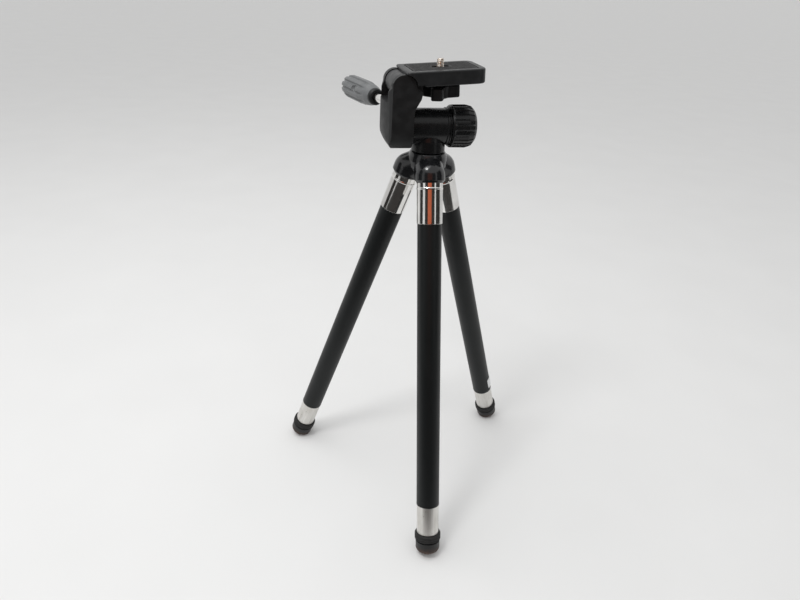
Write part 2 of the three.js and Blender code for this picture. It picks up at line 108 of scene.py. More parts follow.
# ---- mesh tools ------------------------------------------------------------------------------
def rounded(outline, radius, steps=4, closed=True):
    """An outline with every corner turned into a short arc. A corner (x, y, r) has its own radius."""
    result = []
    count = len(outline)
    for i, corner in enumerate(outline):
        point = Vector(corner[:2])
        size = corner[2] if len(corner) > 2 else radius
        if size == 0 or (not closed and i in (0, count - 1)):
            result.append(tuple(point))
            continue
        before = Vector(outline[i - 1][:2]) - point
        after = Vector(outline[(i + 1) % count][:2]) - point
        half = before.angle(after) / 2
        reach = min(size / math.tan(half), 0.49 * before.length, 0.49 * after.length)
        start = point + before.normalized() * reach
        end = point + after.normalized() * reach
        for k in range(steps + 1):
            t = k / steps
            result.append(tuple((1 - t) ** 2 * start + 2 * t * (1 - t) * point + t * t * end))
    return result


def to_object(name, bm, place, sharp=SHARP_ANGLE):
    """The finished mesh as an object in its place, smooth except over sharp edges."""
    bmesh.ops.recalc_face_normals(bm, faces=bm.faces)
    mesh = bpy.data.meshes.new(name)
    for vertex in bm.verts:
        vertex.co *= MM
    bm.to_mesh(mesh)
    bm.free()
    piece = bpy.data.objects.new(name, mesh)
    bpy.context.scene.collection.objects.link(piece)
    piece.matrix_world = place
    smooth(piece, sharp)
    return piece


def smooth(piece, sharp=SHARP_ANGLE):
    piece.data.shade_smooth()
    piece.data.set_sharp_from_angle(angle=math.radians(sharp))


def revolve(name, profile, place, closed=False, sides=ROUND, shape=None):
    """A body of revolution about Z. shape(radius, height, angle) may flute or thread it."""
    bm = bmesh.new()
    rows = []
    for radius, height in profile:
        if radius < 1e-6:
            rows.append([bm.verts.new((0, 0, height))])
            continue
        row = []
        for k in range(sides):
            angle = 2 * math.pi * k / sides
            r = shape(radius, height, angle) if shape else radius
            row.append(bm.verts.new((r * math.cos(angle), r * math.sin(angle), height)))
        rows.append(row)
    if closed:
        rows.append(rows[0])
    for lower, upper in zip(rows, rows[1:]):
        for k in range(sides):
            ring = [lower[k % len(lower)], lower[(k + 1) % len(lower)]]
            ring += [upper[(k + 1) % len(upper)], upper[k % len(upper)]]
            corners = list(dict.fromkeys(ring))
            if len(corners) > 2:
                bm.faces.new(corners)
    return to_object(name, bm, place)


def prism(name, outline, low, high, place):
    """An outline in X and Y, extruded from low to high."""
    bm = bmesh.new()
    bottom = [bm.verts.new((x, y, low)) for x, y in outline]
    top = [bm.verts.new((x, y, high)) for x, y in outline]
    bm.faces.new(reversed(bottom))
    bm.faces.new(top)
    count = len(outline)
    for i in range(count):
        j = (i + 1) % count
        bm.faces.new((bottom[i], bottom[j], top[j], top[i]))
    return to_object(name, bm, place)


def box_outline(x0, y0, x1, y1):
    return [(x0, y0), (x1, y0), (x1, y1), (x0, y1)]


def cylinder_profile(radius, low, high):
    """What revolve needs for a plain round hole or block."""
    return [(0, low), (radius, low), (radius, high), (0, high)]


def arc(x, y, radius, start, end, steps):
    """Points on a circle, from start to end degrees."""
    angles = [math.radians(start + (end - start) * k / steps) for k in range(steps + 1)]
    return [(x + radius * math.cos(t), y + radius * math.sin(t)) for t in angles]


def dense(profile, spacing):
    """A profile with extra points, at most about spacing apart along Z, so that it can be fluted."""
    result = []
    for (r0, z0), (r1, z1) in zip(profile, profile[1:]):
        parts = max(1, int(abs(z1 - z0) / spacing))
        result += [(r0 + (r1 - r0) * k / parts, z0 + (z1 - z0) * k / parts) for k in range(parts)]
    return result + [profile[-1]]


def apply_modifiers(piece, reshaped=True):
    """Bakes the modifiers into the mesh. A reshaped mesh gets its sharp edges found again."""
    bpy.context.view_layer.update()
    graph = bpy.context.evaluated_depsgraph_get()
    mesh = bpy.data.meshes.new_from_object(piece.evaluated_get(graph))
    piece.modifiers.clear()
    old = piece.data
    piece.data = mesh
    bpy.data.meshes.remove(old)
    if reshaped:
        smooth(piece)
    return piece


def weigh_normals(piece):
    """Lets large faces set the normals that they share with the small faces round their edges."""
    modifier = piece.modifiers.new("weighted", "WEIGHTED_NORMAL")
    modifier.keep_sharp = True
    return apply_modifiers(piece, reshaped=False)


def boolean(piece, operation, *tools):
    """Joins, cuts or intersects with the tools, which are used up."""
    for tool in tools:
        modifier = piece.modifiers.new("boolean", "BOOLEAN")
        modifier.operation = operation
        modifier.solver = "MANIFOLD"
        modifier.object = tool
    apply_modifiers(piece)
    for tool in tools:
        bpy.data.objects.remove(tool)
    return piece


def bevel(piece, width, segments=3, angle=30):
    """Rounds the edges that turn by more than angle degrees."""
    weld = piece.modifiers.new("weld", "WELD")
    weld.merge_threshold = 0.01 * MM
    modifier = piece.modifiers.new("bevel", "BEVEL")
    modifier.width = width * MM
    modifier.segments = segments
    modifier.limit_method = "ANGLE"
    modifier.angle_limit = math.radians(angle)
    modifier.harden_normals = False
    return apply_modifiers(piece)


def soften_creases(piece, width):
    """Rounds the hollow creases where joined shapes meet."""
    return bevel(piece, width, 4, 22)


def turned(place, axis, degrees=90, offset=(0, 0, 0)):
    """A place moved by offset millimetres and turned about one of its own axes."""
    shift = Matrix.Translation(Vector(offset) * MM)
    return place @ shift @ Matrix.Rotation(math.radians(degrees), 4, axis)


def add(piece, body, finish, slot, *nodes):
    """Gives a piece its material, rides it on its body and hides the CAD nodes it replaces. The slot is
    not used.
    """
    weigh_normals(piece)
    piece.data.materials.clear()
    piece.data.materials.append(finish)
    if nodes:
        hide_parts(*nodes)
    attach(piece, body)
    return piece


# ---- materials -------------------------------------------------------------------------------
class Finish:
    """One procedural material: a Principled shader with textures laid out in the piece's metres."""

    def __init__(self, name, metallic=0.0, coat=0.0, specular=0.5):
        self.material = bpy.data.materials.new(name)
        self.material.use_nodes = True
        self.nodes = self.material.node_tree.nodes
        self.links = self.material.node_tree.links
        self.shader = self.nodes["Principled BSDF"]
        self.shader.inputs["Metallic"].default_value = metallic
        self.shader.inputs["Coat Weight"].default_value = coat
        self.shader.inputs["Coat Roughness"].default_value = 0.08
        self.shader.inputs["Specular IOR Level"].default_value = specular
        self.where = self.nodes.new("ShaderNodeTexCoord").outputs["Object"]

    def stretched(self, size):
        """Coordinates that make a texture's unit size millimetres along X, Y and Z."""
        mapping = self.nodes.new("ShaderNodeMapping")
        mapping.inputs["Scale"].default_value = [1 / (s * MM) for s in size]
        self.links.new(self.where, mapping.inputs["Vector"])
        return mapping.outputs["Vector"]

    def noise(self, size, detail=3.0, roughness=0.55):
        texture = self.nodes.new("ShaderNodeTexNoise")
        texture.inputs["Scale"].default_value = 1.0
        texture.inputs["Detail"].default_value = detail
        texture.inputs["Roughness"].default_value = roughness
        self.links.new(self.stretched(size), texture.inputs["Vector"])
        return texture.outputs["Fac"]

    def cells(self, size):
        """Distance to scattered points, for specks."""
        texture = self.nodes.new("ShaderNodeTexVoronoi")
        texture.inputs["Scale"].default_value = 1.0
        self.links.new(self.stretched(size), texture.inputs["Vector"])
        return texture.outputs["Distance"]

    def ramp(self, value, low, high, start=0.0, end=1.0):
        """Maps value from low..high to start..end, clamped."""
        node = self.nodes.new("ShaderNodeMapRange")
        self.links.new(value, node.inputs["Value"])
        for key, number in (("From Min", low), ("From Max", high), ("To Min", start), ("To Max", end)):
            node.inputs[key].default_value = number
        return node.outputs["Result"]

    def multiply(self, first, second):
        node = self.nodes.new("ShaderNodeMath")
        node.operation = "MULTIPLY"
        self.links.new(first, node.inputs[0])
        self.links.new(second, node.inputs[1])
        return node.outputs["Value"]

    def mix(self, share, first, second):
        """A colour between two, each an RGB triple or an output."""
        node = self.nodes.new("ShaderNodeMix")
        node.data_type = "RGBA"
        self.links.new(share, node.inputs["Factor"])
        for key, colour in (("A", first), ("B", second)):
            socket = [s for s in node.inputs if s.name == key and s.type == "RGBA"][0]
            if isinstance(colour, (tuple, list)):
                socket.default_value = (*colour, 1)
            else:
                self.links.new(colour, socket)
        return [s for s in node.outputs if s.type == "RGBA"][0]

    def colour(self, output):
        self.links.new(output, self.shader.inputs["Base Color"])

    def roughness(self, output):
        self.links.new(output, self.shader.inputs["Roughness"])

    def bump(self, *layers):
        """Each layer is (height output, depth in millimetres)."""
        normal = None
        for height, depth in layers:
            node = self.nodes.new("ShaderNodeBump")
            node.inputs["Strength"].default_value = 1.0
            node.inputs["Distance"].default_value = depth * MM
            self.links.new(height, node.inputs["Height"])
            if normal:
                self.links.new(normal, node.inputs["Normal"])
            normal = node.outputs["Normal"]
        self.links.new(normal, self.shader.inputs["Normal"])


def chrome_finish():
    f = Finish("chrome_plating", metallic=1.0)
    haze = f.noise((9, 9, 14))
    scratches = f.noise((0.5, 0.5, 9), detail=5)
    f.colour(f.mix(f.ramp(haze, 0.35, 0.7), (0.86, 0.85, 0.83), (0.72, 0.71, 0.69)))
    f.roughness(f.ramp(f.multiply(haze, scratches), 0.12, 0.42, 0.05, 0.17))
    f.bump((scratches, 0.006), (f.noise((3, 3, 3)), 0.02))
    return f.material


def steel_finish():
    f = Finish("plated_steel", metallic=1.0)
    grain = f.noise((0.4, 0.4, 0.4), detail=4)
    f.colour(f.mix(f.ramp(f.noise((5, 5, 5)), 0.35, 0.7), (0.70, 0.69, 0.66), (0.50, 0.48, 0.45)))
    f.roughness(f.ramp(grain, 0.3, 0.7, 0.16, 0.32))
    f.bump((grain, 0.01))
    return f.material


def screw_finish():
    """Bright steel with brown grease and oxide down in the thread."""
    f = Finish("camera_screw_steel", metallic=1.0)
    stain = f.ramp(f.noise((1.4, 1.4, 0.9)), 0.38, 0.62)
    f.colour(f.mix(stain, (0.80, 0.78, 0.74), (0.42, 0.29, 0.19)))
    f.roughness(f.ramp(stain, 0, 1, 0.14, 0.42))
    f.bump((f.noise((0.3, 0.3, 0.3)), 0.01))
    return f.material


def tube_finish():
    """Drawn tube: streaks along its length, with small dark nicks."""
    f = Finish("bare_metal_tube", metallic=1.0)
    streaks = f.noise((0.7, 0.7, 40), detail=6, roughness=0.65)
    cloud = f.noise((7, 7, 16))
    nicks = f.multiply(f.ramp(f.cells((3.4, 3.4, 5)), 0.07, 0.11, 1, 0), f.ramp(cloud, 0.5, 0.56))
    bright = f.mix(f.ramp(streaks, 0.3, 0.7), (0.83, 0.82, 0.79), (0.62, 0.60, 0.57))
    clouded = f.mix(f.ramp(cloud, 0.45, 0.75, 0, 0.5), bright, (0.50, 0.48, 0.44))
    f.colour(f.mix(nicks, clouded, (0.07, 0.065, 0.06)))
    f.roughness(f.ramp(streaks, 0.3, 0.7, 0.30, 0.44))
    f.bump((streaks, 0.02), (nicks, 0.03))
    return f.material


def sleeve_finish():
    """Thin satin vinyl with faint lengthwise drawing marks and a few scuffs."""
    f = Finish("black_vinyl_sleeve", specular=0.3)
    streaks = f.noise((1.2, 1.2, 70), detail=4)
    cloud = f.noise((14, 14, 40))
    scuffs = f.multiply(f.ramp(f.noise((1.1, 1.1, 16), detail=6), 0.66, 0.74), f.ramp(cloud, 0.5, 0.62))
    f.colour(f.mix(f.ramp(scuffs, 0, 1, 0, 0.35), (0.0055, 0.0068, 0.0070), (0.05, 0.055, 0.055)))
    f.roughness(f.ramp(cloud, 0.3, 0.7, 0.36, 0.48))
    f.bump((streaks, 0.012), (f.noise((0.35, 0.35, 0.35), detail=2), 0.006))
    return f.material


def gloss_finish():
    """Glossy moulded plastic with a slight ripple, fine rubbing marks and a little dust."""
    f = Finish("gloss_black_plastic", coat=0.25)
    ripple = f.noise((6, 6, 6), detail=2)
    rub = f.noise((0.5, 4, 1.1), detail=6)
    dust = f.ramp(f.cells((2.6, 2.6, 2.6)), 0.04, 0.07, 1, 0)
    f.colour(f.mix(f.ramp(dust, 0, 1, 0, 0.4), (0.0075, 0.008, 0.009), (0.11, 0.11, 0.11)))
    f.roughness(f.ramp(rub, 0.35, 0.75, 0.13, 0.30))
    f.bump((ripple, 0.05), (rub, 0.004))
    return f.material


def moulded_finish(name, colour, worn, roughness=(0.42, 0.6), grain=0.03, waviness=0.03):
    """Moulded plastic with a fine spark-eroded grain and paler rubbed patches."""
    f = Finish(name, specular=0.35)
    fine = f.noise((0.32, 0.32, 0.32), detail=3, roughness=0.7)
    patches = f.noise((8, 8, 8), detail=4)
    f.colour(f.mix(f.ramp(patches, 0.45, 0.8, 0, 0.7), colour, worn))
    f.roughness(f.ramp(patches, 0.3, 0.7, *roughness))
    f.bump((patches, waviness), (fine, grain))
    return f.material


def rubber_finish():
    f = Finish("black_rubber")
    fine = f.noise((0.5, 0.5, 0.5), detail=4)
    dust = f.noise((4, 4, 4), detail=6)
    f.colour(f.mix(f.ramp(dust, 0.5, 0.8, 0, 0.5), (0.008, 0.008, 0.008), (0.035, 0.033, 0.031)))
    f.roughness(f.ramp(dust, 0.3, 0.7, 0.5, 0.8))
    f.bump((fine, 0.04))
    return f.material


def foot_finish(brown_from, brown_to):
    """Black rubber that turns brown and matt towards its worn end."""
    f = Finish("worn_foot_rubber")
    height = f.nodes.new("ShaderNodeSeparateXYZ")
    f.links.new(f.where, height.inputs["Vector"])
    worn = f.ramp(height.outputs["Z"], brown_to * MM, brown_from * MM, 1, 0)
    patchy = f.multiply(worn, f.ramp(f.noise((3, 3, 3), detail=5), 0.3, 0.6, 0.35, 1))
    f.colour(f.mix(patchy, (0.008, 0.0078, 0.0078), (0.075, 0.036, 0.022)))
    f.roughness(f.ramp(patchy, 0, 1, 0.42, 0.7))
    f.bump((f.noise((0.6, 0.6, 0.6), detail=4), 0.05))
    return f.material


def label_finish():
    f = Finish("blank_silver_label")
    cloud = f.noise((4, 4, 4), detail=4)
    f.colour(f.mix(f.ramp(cloud, 0.35, 0.7), (0.72, 0.73, 0.74), (0.60, 0.60, 0.60)))
    f.roughness(f.ramp(cloud, 0.3, 0.7, 0.3, 0.45))
    f.bump((f.noise((1.5, 1.5, 1.5)), 0.03))
    return f.material


CHROME = chrome_finish()
STEEL = steel_finish()
SCREW = screw_finish()
TUBE = tube_finish()
SLEEVE = sleeve_finish()
GLOSS = gloss_finish()
BLACK = moulded_finish("black_plastic", (0.0075, 0.008, 0.0085), (0.018, 0.0185, 0.0195))
SATIN = moulded_finish(
    "satin_black_plastic", (0.006, 0.0062, 0.0066), (0.010, 0.0104, 0.011), (0.24, 0.30), 0.006, 0.008
)
CHARCOAL = moulded_finish(
    "platform_plastic", (0.011, 0.0118, 0.0125), (0.024, 0.025, 0.0265), (0.34, 0.48)
)
GREY = moulded_finish("grey_grip_plastic", (0.118, 0.122, 0.125), (0.185, 0.188, 0.19), (0.34, 0.5))
RUBBER = rubber_finish()
LABEL = label_finish()


# ---- legs ------------------------------------------------------------------------------------
BEAD_BELOW_TOP = 5.4
BEAD_HEIGHT = 0.4
FERRULE_RADIUS = 11.6
FERRULE_WALL = 0.65
TUBE_WALL = 0.7
SLEEVE_WALL = 0.25
BALL_RADIUS = 11.35  # the plug's round top


def build_ferrule(side, place):
    low, high, _ = span(side + "_ferrule", place)
    bead = high - BEAD_BELOW_TOP
    bore = FERRULE_RADIUS - FERRULE_WALL
    outline = [(bore, low), (FERRULE_RADIUS, low, 0.25)]
    for k in range(9):
        swell = BEAD_HEIGHT * math.sin(math.pi * k / 8)
        outline.append((FERRULE_RADIUS + swell, bead - 1 + k / 4, 0))
    outline += [(FERRULE_RADIUS, high, 0.5), (bore, high)]
    ferrule = revolve(side + "_chrome_ferrule", rounded(outline, 0.15), place, closed=True)
    add(ferrule, side + "_leg", CHROME, "chrome", side + "_ferrule")


def build_tubes(side, place):
    """The outer tube and three inner sections, each with its end rolled inwards."""
    rows = [("outer_tube", "leg"), ("section_2", "leg_section_2")]
    rows += [("section_3", "leg_section_3"), ("section_4", "leg_section_4")]
    for node, body in rows:
        low, high, radius = span(f"{side}_{node}", place)
        bore = radius - TUBE_WALL
        outline = rounded([(bore, low), (radius, low, 0.6), (radius, high, 0.3), (bore, high)], 0.1)
        tube = revolve(f"{side}_{node}_metal", outline, place, closed=True)
        add(tube, f"{side}_{body}", TUBE, "bare_tube", f"{side}_{node}")


def build_sleeve(side, place):
    """A shrunk-on skin whose lower end flares a little where it was cut."""
    low, high, radius = span(side + "_sleeve", place)
    bore = radius - SLEEVE_WALL
    outline = [(bore, high), (bore, low + 0.2), (bore + 0.05, low), (radius + 0.05, low)]
    outline += [(radius + 0.12, low + 0.5), (radius, low + 2)]
    outline += [(radius, high - 0.2), (radius - 0.1, high)]
    sleeve = revolve(side + "_black_sleeve", outline, place, closed=True)
    add(sleeve, side + "_leg", SLEEVE, "black_sleeve", side + "_sleeve")


def build_plug(side, place):
    """A round-topped plug that stands in the ferrule and turns on the hinge pin."""
    low = span(side + "_leg_plug", place)[0]
    shoulder = span(side + "_ferrule", place)[1] + GAP
    dome = arc(0, 0, BALL_RADIUS, 0, 90, 20)[:-1]
    stem = FERRULE_RADIUS - FERRULE_WALL - GAP
    lower = [(0, low), (stem, low, 0.8), (stem, shoulder, 0), (BALL_RADIUS, shoulder, 0.4)]
    profile = rounded(lower, 0.3, closed=False) + dome + [(0, BALL_RADIUS)]
    plug = revolve(side + "_hinge_plug", profile, place)
    hole = revolve("hole", cylinder_profile(PIN_HOLE, -20, 20), turned(place, "Y"), sides=24)
    boolean(plug, "DIFFERENCE", hole)
    add(plug, side + "_leg", GLOSS, "black_plastic", side + "_leg_plug")


COLLAR_TEETH = 56
COLLAR_TOOTH_DEPTH = 0.28
COLLAR_BORE = 8.6
FOOT_RADIUS = 11.75
FOOT_CORNER = 5.0
FOOT_NECK = 8.3  # inside the collar
FOOT_STEM = 5.7  # inside the last tube section


def build_foot(side, place):
    """A knurled collar over a round-edged foot, which the floor has worn flat on one side."""
    low, high, radius = span(side + "_foot_collar", place)
    band = [(radius - 0.9, low), (radius, low + 1.1), (radius - 0.55, low + 2.3), (radius, low + 3.5)]
    band += [(radius - 0.55, low + 4.7), (radius, low + 5.9), (radius - 0.9, high)]
    outline = rounded([(COLLAR_BORE, low, 0), *band, (COLLAR_BORE, high, 0)], 0.6, steps=5)

    def teeth(r, _height, angle):
        depth = COLLAR_TOOTH_DEPTH if r > radius - 0.8 else 0
        return r - depth * (0.5 + 0.5 * math.cos(COLLAR_TEETH * angle))

    sides = COLLAR_TEETH * 6
    collar = revolve(side + "_ribbed_collar", outline, place, closed=True, sides=sides, shape=teeth)
    body = side + "_leg_section_4"
    add(collar, body, RUBBER, "black_rubber", side + "_foot_collar")

    end, foot_high, _ = span(side + "_foot", place)
    shoulder = low - GAP
    edge = arc(FOOT_RADIUS - FOOT_CORNER, end + FOOT_CORNER, FOOT_CORNER, -90, 0, 14)
    neck = [(FOOT_RADIUS, shoulder, 0.5), (FOOT_NECK, shoulder), (FOOT_NECK, high), (FOOT_STEM, high)]
    neck = rounded(neck, 0.2, 4, False)
    profile = [(0, end + 0.6), (3, end + 0.6), (3.6, end), *edge, (FOOT_RADIUS, shoulder - 1)]
    profile += [*neck[1:], (FOOT_STEM, foot_high), (0, foot_high)]
    foot = revolve(side + "_rubber_foot", profile, place)
    spot = place @ Vector((0, 0, end * MM))
    below = Matrix.Translation((spot.x, spot.y, 0))
    floor_cut = prism("floor_cut", box_outline(-60, -60, 60, 60), -40, 0, below)
    boolean(foot, "DIFFERENCE", floor_cut)
    add(foot, body, foot_finish(end + 8, end + 1.5), "foot_rubber", side + "_foot")


LABEL_CORNER = 2.2
LABEL_THICKNESS = 0.2
LABEL_STRIPS = 14  # flat strips that follow the sleeve's curve


def build_label():
    """A blank sticker with round corners, bent round the right leg's sleeve."""
    place = LEGS["right"]
    node = frame["nodes"]["right_blank_label"]
    inverse = place.inverted()
    points = [inverse @ vertex.co / MM for vertex in node.data.vertices]
    angles = [math.atan2(p.y, p.x) for p in points]
    radius = max(p.xy.length for p in points)
    low, high = min(p.z for p in points), max(p.z for p in points)
    first, last = min(angles) * radius, max(angles) * radius
    bm = bmesh.new()
    outline = rounded(box_outline(first, low, last, high), LABEL_CORNER, steps=6)
    layers = (radius - LABEL_THICKNESS, radius)
    rows = [[bm.verts.new((x, z, r)) for x, z in outline] for r in layers]
    bm.faces.new(rows[1])
    bm.faces.new(reversed(rows[0]))
    for i in range(len(outline)):
        j = (i + 1) % len(outline)
        bm.faces.new((rows[0][i], rows[0][j], rows[1][j], rows[1][i]))
    bmesh.ops.triangulate(bm, faces=bm.faces[:])
    for k in range(1, LABEL_STRIPS):
        cut_at = (first + (last - first) * k / LABEL_STRIPS, 0, 0)
        geometry = bm.verts[:] + bm.edges[:] + bm.faces[:]
        bmesh.ops.bisect_plane(bm, geom=geometry, plane_co=cut_at, plane_no=(1, 0, 0))
    for vertex in bm.verts:
        along, height, r = vertex.co
        vertex.co = (r * math.cos(along / radius), r * math.sin(along / radius), height)
    label = to_object("blank_label", bm, place)
    add(label, "right_leg", LABEL, "blank_label", "right_blank_label")


def build_legs():
    for side in SIDES:
        place = LEGS[side]
        build_ferrule(side, place)
        build_tubes(side, place)
        build_sleeve(side, place)
        build_plug(side, place)
        build_foot(side, place)
    build_label()


# ---- hub -------------------------------------------------------------------------------------
LOBE_RADIUS = 13.6
SOCKET_RADIUS = 11.7
LOBE_SKIRT = 5.2
HUB_TOP = 13.4
LOBE_START = 9.5  # from the hub's middle
HUB_CREASE = 1.4
LEG_SWINGS = (0, 10, 19.5)  # degrees that a leg needs room to close through


def sphere(name, radius, place, sides=ROUND):
    steps = sides // 2
    profile = arc(0, 0, radius, -90, 90, steps)
    profile[0], profile[-1] = (0, -radius), (0, radius)
    return revolve(name, profile, place, sides=sides)


def lobe(place):
    """A round-ended bar from over a leg's pin to the hub's middle."""
    pin = place.translation
    middle = HUB.translation
    outward = Vector((pin.x - middle.x, pin.y - middle.y, 0)).normalized()
    inner = middle + (LOBE_START * outward + Vector((0, 0, HUB_TOP - LOBE_RADIUS))) * MM
    length = (pin - inner).length / MM
    quarter = [math.pi / 2 * k / 24 for k in range(1, 24)]
    cap = [(LOBE_RADIUS * math.sin(t), -length - LOBE_RADIUS * math.cos(t)) for t in quarter]
    nose = [(LOBE_RADIUS * math.cos(t), LOBE_RADIUS * math.sin(t)) for t in quarter]
    profile = [(0, -length - LOBE_RADIUS), *cap, (LOBE_RADIUS, -length)]
    profile += [(LOBE_RADIUS, 0), *nose, (0, LOBE_RADIUS)]
    return revolve("lobe", profile, place_at(pin, pin - inner, place.col[0].xyz))


def skirt(place):
    """The lobe's round wall, which comes down over the top of the leg."""
    outline = [(0, -LOBE_SKIRT), (LOBE_RADIUS, -LOBE_SKIRT, 0.8), (LOBE_RADIUS, 0), (0, 0)]
    return revolve("skirt", rounded(outline, 0.3, 4, False), place)


def build_hub():
    """Three round lobes grown out of one boss, each hollowed for the ball end of a leg."""
    outline = rounded(
        [(0, -6), (12, -6, 1), (16, -3, 2), (17.6, 1, 3), (17.8, 6, 4), (17.2, 10, 3),
         (15.8, HUB_TOP, 1), (0, HUB_TOP)], 1, 6, False)
    hub = revolve("hub_dome", outline, HUB)
    boolean(hub, "UNION", *[lobe(LEGS[side]) for side in SIDES])
    boolean(hub, "UNION", *[skirt(LEGS[side]) for side in SIDES])
    soften_creases(hub, HUB_CREASE)
    room = []
    for side in SIDES:
        room.append(sphere("socket", SOCKET_RADIUS, LEGS[side]))
        for closing in LEG_SWINGS:
            swung = turned(LEGS[side], "X", closing)
            room.append(revolve("swing", cylinder_profile(SOCKET_RADIUS, -30, 0), swung))
        pin_hole = cylinder_profile(PIN_HOLE, -13.1, 13.1)
        room.append(revolve("pin_hole", pin_hole, turned(LEGS[side], "Y"), sides=32))
    boolean(hub, "DIFFERENCE", *room)
    add(hub, "hub", GLOSS, "gloss_black", "hub")


# ---- head ------------------------------------------------------------------------------------
BARREL_HEIGHT = (JOINTS["head_tilt"]["pos_m"][2] - HEAD.translation.z) / MM
BARREL = turned(HEAD, "Y", 90, (0, 0, BARREL_HEIGHT))  # its Z runs along the barrel


BARREL_START = -18.7
BARREL_END = 15.0
BARREL_RADIUS = 15.4
BOLT_HOLE = 2.3


def build_neck():
    """The neck and the barrel across its top, moulded in one piece."""
    low = span("pan_neck", HEAD)[0]
    start, end, radius = BARREL_START, BARREL_END, BARREL_RADIUS
    profile = [(0, low), (14.2, low, 0.3), (15.1, low + 0.9, 0.4), (14.9, low + 5, 2)]
    profile += [(14.6, 24, 3), (13, 32, 0.5), (0, 32)]
    neck = revolve("neck_and_barrel", rounded(profile, 0.5, 5, False), HEAD)
    body = [(0, start), (radius - 0.2, start, 0.5), (radius, start + 10, 0)]
    rim = radius + 0.7
    body += [(radius, end - 2.2, 0), (rim, end - 1.6, 0.3), (rim, end, 0.4), (0, end)]
    barrel = revolve("barrel", rounded(body, 0.5, 5, False), BARREL)
    boolean(neck, "UNION", barrel)
    bore = revolve("bore", cylinder_profile(ROD_HOLE, -40, 40), BARREL, sides=48)
    bolt_hole = revolve("bolt_hole", cylinder_profile(BOLT_HOLE, 0, 26.5), HEAD, sides=32)
    boolean(neck, "DIFFERENCE", bore, bolt_hole)
    add(neck, "pan_body", SATIN, "gloss_black", "pan_neck")


KNOB_RIBS = 24
KNOB_RIB_HEIGHT = 0.85
WASHER_RADIUS = 16.4


def build_tilt_knob():
    """The ribbed lock knob, and the washer between it and the barrel."""
    low, high, _ = span("tilt_washer", BARREL)
    washer_outline = [(ROD_HOLE, low), (WASHER_RADIUS, low), (WASHER_RADIUS, high), (ROD_HOLE, high)]
    washer_outline = rounded(washer_outline, 0.35)
    washer = revolve("tilt_lock_washer", washer_outline, BARREL, closed=True)
    add(washer, "tilt_lock", SATIN, "black_plastic", "tilt_washer")

    low, high, radius = span("tilt_knob", BARREL)
    profile = [(ROD_HOLE, low, 0), (17.4, low, 0.6), (radius - 0.2, low + 1.4, 0.6)]
    profile += [(radius, high - 8.5, 4), (radius - 1.2, high - 4, 3)]
    profile += [(radius - 4.4, high - 1.2, 2.5), (radius - 9, high - 0.2, 2), (ROD_HOLE, high, 0)]
    rim_end = low + 2

    def ribs(r, z, angle):
        if z < rim_end or r < radius - 5:
            return r
        fade = min(1, (z - rim_end) / 0.6, max(0, (high - 0.9 - z) / 3.6))
        ridge = max(0.0, math.cos(KNOB_RIBS * angle)) ** 6
        return r - KNOB_RIB_HEIGHT * fade * (1 - ridge)

    profile = dense(rounded(profile, 0.4, 6, False), 1.2)
    knob = revolve("tilt_lock_knob", profile, BARREL, closed=True, sides=KNOB_RIBS * 12, shape=ribs)
    cap_outline = [(0, high - 3), (5.6, high - 3), (5.6, high - 0.1, 0.5), (0, high)]
    cap = revolve("knob_cap", rounded(cap_outline, 0.3, 4, False), BARREL)
    boolean(knob, "UNION", cap)
    add(knob, "tilt_lock", SATIN, "black_plastic", "tilt_knob")


BRACKET_LEFT = -38.2
BRACKET_BULGE = 5.5
BRACKET_RIGHT = -19.0
BRACKET_BOTTOM = 18.4
BRACKET_HALF_DEPTH = 22.0
BRACKET_CURL_TOP = 50.0  # below this the outer side curves in
BRACKET_CURL_INSET = 3.8
BRACKET_FRONT_CORNER = 14.0
BRACKET_BACK_CORNER = 28.0
FLIP_X = -28.5
FLIP_HEIGHT = 70.0
EAR_RADIUS = 10.3
EAR_GAP = 30.6
EAR_ROOM_BELOW = 12  # from the flip pin down to the floor of the room between the ears
SHAFT_HOLE_END = BRACKET_LEFT + 6.5
FLIP_PIN_REACH = 21.5


